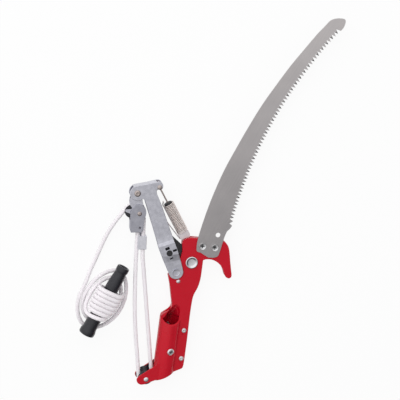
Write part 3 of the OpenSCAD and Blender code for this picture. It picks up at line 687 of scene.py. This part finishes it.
# Saw blade: every other tooth is ground back on the front, the others on the rear
SAW_TEETH = 62
SAW_LINE = ((172.5, 485.5), (162, 470.8), (152.1, 455.6), (142.8, 440.1), (133.8, 424.4), (125.2, 408.4),
            (117.1, 392.3), (109.5, 375.8), (102.6, 359.1), (96.3, 342.2), (90.4, 325), (85.1, 307.7),
            (80.3, 290.3), (76.3, 272.7), (72.3, 255), (69.1, 237.2), (66.4, 219.3))
SAW_FRONT = 6.8
SAW_BACK = 5.5
TIP_REACH = 0.12
TOOTH_GRIND = 3.0


def on_saw_line(share):
    place = share * (len(SAW_LINE) - 1)
    index = min(int(place), len(SAW_LINE) - 2)
    first = Vector((*SAW_LINE[index], 0))
    second = Vector((*SAW_LINE[index + 1], 0))
    return first + (second - first) * (place - index)


def make_saw():
    shape = merged_copy("saw_blade")
    tips = {}
    for tooth in range(SAW_TEETH):
        share = (tooth + 1) / SAW_TEETH
        slope = (on_saw_line(min(1, share + 0.01)) - on_saw_line(share - 0.01)).normalized()
        tips[tooth] = (on_saw_line(share), Vector((slope.y, -slope.x, 0)))
    # Painted reflection: the side faces at every tooth tip take the darker finish, standing for the dark
    # reflections of these facets
    for corner in shape.verts:
        flat = Vector((corner.co.x / MM, corner.co.y / MM, 0))
        for tooth, (tip, inward) in tips.items():
            if (flat - tip).length < TIP_REACH:
                front = corner.co.z > (SAW_FRONT + SAW_BACK) / 2 * MM
                if front == (tooth % 2 == 0):
                    corner.co += inward * TOOTH_GRIND * MM
                for face in corner.link_faces:
                    if abs(face.normal.z) < 0.5:
                        face.material_index = 1
    bmesh.ops.connect_verts_nonplanar(shape, angle_limit=math.radians(0.5), faces=shape.faces)
    add_piece("saw_blade_ground", shape, [saw_steel, tooth_painted_dark_reflection], "head", ("saw_blade",), 8)


make_saw()

# Screws, nuts and turned fasteners
CROSS_FLOOR = 8.1
CROSS_REACH = 2.6
HEAD_TOP = 8.5
HEAD_SINK = 0.9
HEAD_RIM = 4.4


def make_saw_screws():
    """The top of each head sinks to its cross"""
    shape = merged_copy("saw_screws")
    for corner in shape.verts:
        if corner.co.z < HEAD_TOP * MM:
            continue
        for x, y in SAW_SCREWS:
            reach = math.hypot(corner.co.x / MM - x, corner.co.y / MM - y)
            if reach < 3:
                corner.co.z -= HEAD_SINK * MM
            elif reach < 4:
                corner.co.x = (x + (corner.co.x / MM - x) * HEAD_RIM / reach) * MM
                corner.co.y = (y + (corner.co.y / MM - y) * HEAD_RIM / reach) * MM
    bmesh.ops.triangulate(shape, faces=[face for face in shape.faces if len(face.verts) > 4])
    rounded_edges(shape, 0.18, 2)
    # Painted shade: the floor of each cross recess is painted black, standing for the shade inside it
    for face in shape.faces:
        middle = face.calc_center_median() / MM
        if CROSS_FLOOR - 0.1 < middle.z < CROSS_FLOOR + 0.4:
            cross_painted_shade = any(math.hypot(middle.x - x, middle.y - y) < CROSS_REACH for x, y in SAW_SCREWS)
            face.material_index = 1 if cross_painted_shade else 0
    add_piece("saw_screws_plated", shape, [screw_steel, black_oxide], "head",
              ("saw_screws",), 30)


# The pole screw leans over the socket's wall
POLE_SCREW = Vector((0, 32, 0))
POLE_SCREW_LEAN = math.radians(15)
POLE_SCREW_RUN = Vector((math.sin(POLE_SCREW_LEAN), 0, math.cos(POLE_SCREW_LEAN)))
POLE_CROSS_FLOOR = 15.7


def make_pole_screw():
    """The floor of its cross is painted black, as painted shade in the recess"""
    piece = softened("pole_screw", "pole_screw_plated", [rivet_steel, black_oxide], 0.18, 2)
    # Painted shade: faces on the floor of the cross take the black finish
    for face in piece.data.polygons:
        middle = face.center / MM - POLE_SCREW
        height = middle.dot(POLE_SCREW_RUN)
        reach = (middle - height * POLE_SCREW_RUN).length
        if abs(height - POLE_CROSS_FLOOR) < 0.3 and reach < CROSS_REACH:
            face.material_index = 1


make_saw_screws()
softened("saw_nuts", "saw_nuts_plated", zinc_plate, 0.35, 2)
make_pole_screw()
softened("main_pivot_nut", "main_pivot_nut_plated", zinc_plate, 0.5, 2)
turned_piece("main_pivot_bolt_plated", [
    (0, 6.2), (4.5, 6.2), (4.8, 6.25), (5.1, 6.4), (6.8, 7.65), (7.2, 7.85), (7.7, 7.8), (8.15, 7.5),
    (8.42, 6.9), (8.5, 6.2), (8.5, 5.5), (4, 5.5), (4, -14.1), (3.6, -14.5), (0, -14.5)],
    [MAIN_PIVOT], bright_steel, "main_pivot_bolt")
turned_piece("flange_rivets_set", [
    (0, 6.7), (0.5, 6.7), (0.8, 6.95), (1.1, 7.1), (2.3, 7.05), (2.8, 6.8), (3.2, 6.3), (3.5, 5.8),
    (3.6, 5.5), (2.2, 5.5), (2.2, -5.5), (3.6, -5.5), (3.5, -5.8), (3.0, -6.5), (2.2, -6.95), (1.1, -7.1),
    (0, -7.1)],
    FLANGE_RIVETS, rivet_steel, "flange_rivets")


def both_faces(profile, place, name, finish, node):
    """A headed pin on the front, and the same turned over at the rear"""
    rear = [(radius, -height) for radius, height in profile]
    shape = joined([spun(profile, place), spun(rear, place)])
    add_piece(name, shape, finish, body_of(node), (node,), 30)


both_faces([
    (0, 9.35), (3.5, 9.35), (3.8, 9.4), (4.5, 9.68), (4.8, 9.75), (5.1, 9.68), (5.32, 9.4), (5.4, 9.0),
    (5.4, 8.0), (3, 8.0), (3, 2.2), (0, 2.2)],
    LEVER_PIVOT, "lever_pivot_rivets_set", zinc_plate, "lever_pivot_rivets")
both_faces([
    (0, 7.0), (1.0, 6.95), (1.9, 6.6), (2.6, 6.0), (2.9, 5.5), (1.8, 5.5), (1.8, 2.2), (0, 2.2)],
    STOP_RIVET, "lever_stop_rivets_set", pale_zinc, "lever_stop_rivets")
both_faces([
    (0, 8.4), (0.9, 8.4), (1.2, 8.6), (2.0, 8.4), (2.7, 7.9), (3.1, 7.2), (2, 7.2), (2, 4.1), (0, 4.1)],
    BLOCK_RIVET, "block_rivets_set", brown_steel, "block_rivets")
turned_piece("roller_pin_set", [
    (0, 13.3), (1.6, 13.3), (2.6, 13.1), (3.2, 12.7), (3.4, 12.2), (2.4, 12.2), (2.4, -12.2), (3.4, -12.2),
    (3.2, -12.7), (2.6, -13.1), (1.6, -13.3), (0, -13.3)],
    [ROLLER], bright_steel, "roller_pin")
turned_piece("link_rivet_set", [
    (0, 9.2), (1.2, 9.2), (1.6, 9.5), (2.4, 9.6), (3.4, 9.2), (4.1, 8.5), (4.4, 7.9), (3, 7.9), (3, -7.9),
    (4.4, -7.9), (4.1, -8.5), (3.4, -9.2), (2.2, -9.6), (0, -9.7)],
    [LINK_RIVET], brown_steel, "link_rivet")
turned_piece("spring_pin_set", [
    (0, 9.3), (1.4, 9.2), (2.4, 8.9), (3.0, 8.4), (3.3, 7.9), (2, 7.9), (2, -7.9), (3.3, -7.9), (3.0, -8.4),
    (2.4, -8.9), (1.4, -9.2), (0, -9.3)],
    [SPRING_PIN], brown_steel, "spring_pin")

# Blade, roller and wheel
softened("cutting_blade", "cutting_blade_black", black_oxide, 0.35, 2)
softened("rope_roller", "rope_roller_moulding", black_moulding, 0.4, 2)
softened("pulley_wheel", "pulley_wheel_moulding", black_moulding, 0.12, 2)

# Lever: both plates stand proud in a pressed pad round the drive pin
PAD_RISE = 1.6
PAD_DIP = 0.45
PAD_LINES = (((-31.4, 186.6), (-15.2, 193.7)), ((-28.6, 180.4), (-12.2, 187.6)),
             ((-27.0, 176.2), (-9.4, 183.6)), ((-21.2, 163.4), (-1.6, 168.9)), ((-17.5, 154.2), (2.8, 161.1)))
LEVER_FACE = 7.9
LEVER_WINDOWS = ((-17.6, 174.6), (-7.4, 173.2), (-10.4, 161.6))
WINDOW_ROOM = 4.4
PIN_ROOM = 5


def beside_line(x, y, line):
    """How far a place lies to the left of a line from one point to another"""
    (x0, y0), (x1, y1) = line
    return ((x1 - x0) * (y - y0) - (y1 - y0) * (x - x0)) / math.hypot(x1 - x0, y1 - y0)


def off_windows(middle):
    if math.hypot(middle.x - DRIVE_PIN[0], middle.y - DRIVE_PIN[1]) < PIN_ROOM:
        return False
    return all(math.hypot(middle.x - x, middle.y - y) > WINDOW_ROOM for x, y in LEVER_WINDOWS)


def make_lever():
    shape = merged_copy("lever")
    for first, second in PAD_LINES:
        run = Vector((second[0] - first[0], second[1] - first[1], 0)).normalized()
        bmesh.ops.bisect_plane(shape, geom=everything(shape), dist=ON_CUT,
                               plane_co=spot(*first), plane_no=(-run.y, run.x, 0))
    rounded_edges(shape, 0.7, 3, 35, off_windows)
    for corner in shape.verts:
        x, y, z = corner.co / MM
        dip, top, base = [-beside_line(x, y, line) for line in PAD_LINES[:3]]
        lower, foot = [beside_line(x, y, line) for line in PAD_LINES[3:]]
        if dip <= 0 or foot <= 0:
            continue
        outside = PAD_DIP if abs(z) > LEVER_FACE - 0.8 else 0
        if top <= 0:
            rise = -outside * dip / (dip - top)
        elif base <= 0:
            rise = (PAD_RISE + outside) * top / (top - base) - outside
        else:
            rise = PAD_RISE if lower >= 0 else PAD_RISE * foot / (foot - lower)
        corner.co.z += math.copysign(rise * MM, z)
    piece = add_piece("lever_pressed", shape, zinc_plate, "lever", ("lever",), 40)
    mesh = piece.data
    for edge in mesh.edges:
        ends = [mesh.vertices[index].co / MM for index in edge.vertices]
        for line in PAD_LINES:
            if all(abs(beside_line(end.x, end.y, line)) < 0.03 for end in ends):
                edge.use_edge_sharp = True
    flat_shading(piece)


make_lever()


def raised_copy(node, name, finish, edge):
    shape = merged_copy(node)
    for corner in shape.verts:
        corner.co.z += math.copysign(PAD_RISE * MM, corner.co.z)
    rounded_edges(shape, edge, 2)
    flat_shading(add_piece(name, shape, finish, "lever", (node,)))


raised_copy("drive_pin", "drive_pin_black", black_oxide, 0.3)
raised_copy("drive_pin_rings", "drive_pin_rings_black", black_oxide, 0.12)

# Return spring
SPRING_RUN = (Vector((*SPRING_PIN, 0)) - Vector((*SPRING_ANCHOR, 0))).normalized()
COIL_START = 13.2
COIL_END = 58.0
COIL_R = 7.1
WIRE_R = 0.7
CURLS = 23


def along_spring(distance, aside=0.0, z=0.0):
    side = Vector((-SPRING_RUN.y, SPRING_RUN.x, 0))
    return (Vector((*SPRING_ANCHOR, 0)) + distance * SPRING_RUN + aside * side + Vector((0, 0, z))) * MM


def stand_on_spring(shape):
    """Turns what stands along Z at the origin to run up the spring"""
    turn = math.atan2(SPRING_RUN.y, SPRING_RUN.x)
    stand = Matrix.Translation(spot(*SPRING_ANCHOR)) @ Matrix.Rotation(turn, 4, "Z")
    bmesh.ops.transform(shape, matrix=stand @ Matrix.Rotation(math.radians(90), 4, "Y"), verts=shape.verts)


def make_spring():
    shape = bmesh.new()
    low = COIL_START + WIRE_R
    pitch = (COIL_END - COIL_START - 2 * WIRE_R) / CURLS
    ring = bmesh.ops.create_circle(shape, cap_ends=True, segments=10, radius=WIRE_R * MM)
    stand = Matrix.Translation(spot(COIL_R, 0, low)) @ Matrix.Rotation(math.radians(90), 4, "X")
    bmesh.ops.transform(shape, matrix=stand, verts=ring["verts"])
    steps = 28 * CURLS
    bmesh.ops.spin(shape, geom=everything(shape), cent=(0, 0, 0), axis=(0, 0, 1),
                   dvec=(0, 0, pitch * CURLS / steps * MM), angle=2 * math.pi * CURLS, steps=steps,
                   use_duplicate=False)
    bmesh.ops.remove_doubles(shape, verts=shape.verts, dist=ON_CUT)
    bmesh.ops.recalc_face_normals(shape, faces=shape.faces)
    stand_on_spring(shape)
    piece = add_piece("spring_coil", shape, spring_wire, None, ("spring",), 50)
    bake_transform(piece)


make_spring()
softened("spring_foot", "spring_foot_tab", pale_zinc, 0.3, 2)


def make_spring_hook():
    shape = merged_copy("spring_hook")
    rounded_edges(shape, 0.2, 2)
    for face in shape.faces:
        reach = (face.calc_center_median() / MM - Vector((*SPRING_ANCHOR, 0))).dot(SPRING_RUN)
        face.material_index = 1 if reach < COIL_END + 1.3 else 0
    flat_shading(add_piece("spring_hook_rod", shape, [brown_steel, black_oxide], "hook",
                           ("spring_hook",)))


def make_spring_end():
    """The last of the wire stands off the coil and ends in a bead"""
    shape = bmesh.new()
    bmesh.ops.create_uvsphere(shape, u_segments=20, v_segments=12, radius=1.15 * MM)
    bmesh.ops.translate(shape, verts=shape.verts, vec=along_spring(COIL_END + 5.6, 4.6, 3.2))
    stops = [along_spring(COIL_END - 0.8, COIL_R, 0), along_spring(COIL_END + 1.6, COIL_R - 0.2, 1.2),
             along_spring(COIL_END + 3.6, 6.0, 2.4), along_spring(COIL_END + 5.6, 4.6, 3.2)]
    for first, second in zip(stops, stops[1:]):
        rod = bmesh.ops.create_cone(shape, cap_ends=True, segments=14, radius1=WIRE_R * MM,
                                    radius2=WIRE_R * MM, depth=(second - first).length)
        turn = (second - first).to_track_quat("Z", "Y").to_matrix().to_4x4()
        stand = Matrix.Translation((first + second) / 2) @ turn
        bmesh.ops.transform(shape, matrix=stand, verts=rod["verts"])
    add_piece("spring_wire_end", shape, spring_wire, "hook")


make_spring_hook()
make_spring_end()

# Pulley block and clamp
softened("link_straps", "link_straps_plated", zinc_plate, 0.3, 2)
softened("block_cheeks", "block_cheeks_steel", cheek_steel, 0.35, 2)
softened("rope_clamp", "rope_clamp_pressed", clamp_zinc, 0.45, 3)

# Small hidden pins keep their solids
for node, finish in (("socket_rivet", pale_zinc), ("anchor_pin", zinc_plate), ("wheel_axle", zinc_plate)):
    nodes[node].data.materials.clear()
    nodes[node].data.materials.append(finish)


# Floor, backdrop light and lamp
def white_for_sight(web):
    """1 where a ray comes straight, by reflection or through glass from the camera"""
    path = web.nodes.new("ShaderNodeLightPath")
    seen = sums(web, "MAXIMUM", path.outputs["Is Camera Ray"], path.outputs["Is Glossy Ray"])
    return sums(web, "MAXIMUM", seen, path.outputs["Is Transmission Ray"])


FLOOR_GREY = 0.86
FLOOR_GLOW = 0.9


def make_floor():
    shape = bmesh.new()
    bmesh.ops.create_grid(shape, x_segments=1, y_segments=1, size=4)
    bmesh.ops.translate(shape, verts=shape.verts, vec=spot(0, 200, FLOOR_Z))
    mesh = bpy.data.meshes.new("studio_floor")
    shape.to_mesh(mesh)
    shape.free()
    floor = bpy.data.objects.new("studio_floor", mesh)
    scene.collection.objects.link(floor)
    paper = bpy.data.materials.new("floor_paper")
    paper.use_nodes = True
    web = paper.node_tree
    web.nodes.clear()
    matt = web.nodes.new("ShaderNodeBsdfDiffuse")
    matt.inputs["Color"].default_value = (FLOOR_GREY, FLOOR_GREY, FLOOR_GREY, 1)
    glow = web.nodes.new("ShaderNodeEmission")
    glow.inputs["Strength"].default_value = 1.0
    mix = web.nodes.new("ShaderNodeMixShader")
    web.links.new(sums(web, "MULTIPLY", white_for_sight(web), FLOOR_GLOW), mix.inputs[0])
    web.links.new(matt.outputs[0], mix.inputs[1])
    web.links.new(glow.outputs[0], mix.inputs[2])
    out = web.nodes.new("ShaderNodeOutputMaterial")
    web.links.new(mix.outputs[0], out.inputs[0])
    mesh.materials.append(paper)


WORLD_LEVEL = 0.62
BRIGHT_SIDE = (-0.5, 0.6, 0.62)
MIRROR_DARK = 0.12
MIRROR_BRIGHT = 1.12


def make_world():
    """White where it is seen, and from grey to bright where it is mirrored, so that metal has edges"""
    world = bpy.data.worlds.new("studio")
    scene.world = world
    world.use_nodes = True
    web = world.node_tree
    background = web.nodes["Background"]
    background.inputs["Color"].default_value = (1, 1, 1, 1)
    where = web.nodes.new("ShaderNodeTexCoord")
    lean = web.nodes.new("ShaderNodeVectorMath")
    lean.operation = "DOT_PRODUCT"
    lean.inputs[1].default_value = BRIGHT_SIDE
    web.links.new(where.outputs["Generated"], lean.inputs[0])
    path = web.nodes.new("ShaderNodeLightPath")
    mirrored = spread(web, lean.outputs["Value"], MIRROR_DARK, MIRROR_BRIGHT, -0.2, 0.8)
    level = web.nodes.new("ShaderNodeMix")
    level.inputs[2].default_value = WORLD_LEVEL
    web.links.new(path.outputs["Is Glossy Ray"], level.inputs[0])
    web.links.new(mirrored, level.inputs[3])
    straight = sums(web, "MAXIMUM", path.outputs["Is Camera Ray"], path.outputs["Is Transmission Ray"])
    web.links.new(sums(web, "MAXIMUM", level.outputs[0], straight), background.inputs["Strength"])


# In metres and watts
LAMP_AT = (-0.9, 1.3, 1.5)
LAMP_AIM = (0, 0.2, 0)
LAMP_SIZE = 2.6
LAMP_POWER = 28


def make_lamp():
    """One wide lamp, which metal doesn't mirror"""
    lamp = bpy.data.lights.new("key_lamp", "AREA")
    lamp.shape = "DISK"
    lamp.size = LAMP_SIZE
    lamp.energy = LAMP_POWER
    stand = bpy.data.objects.new("key_lamp", lamp)
    scene.collection.objects.link(stand)
    stand.visible_glossy = False
    eye = Vector(LAMP_AT)
    turn = (Vector(LAMP_AIM) - eye).to_track_quat("-Z", "Y").to_matrix().to_4x4()
    stand.matrix_world = Matrix.Translation(eye) @ turn


make_floor()
make_world()
make_lamp()
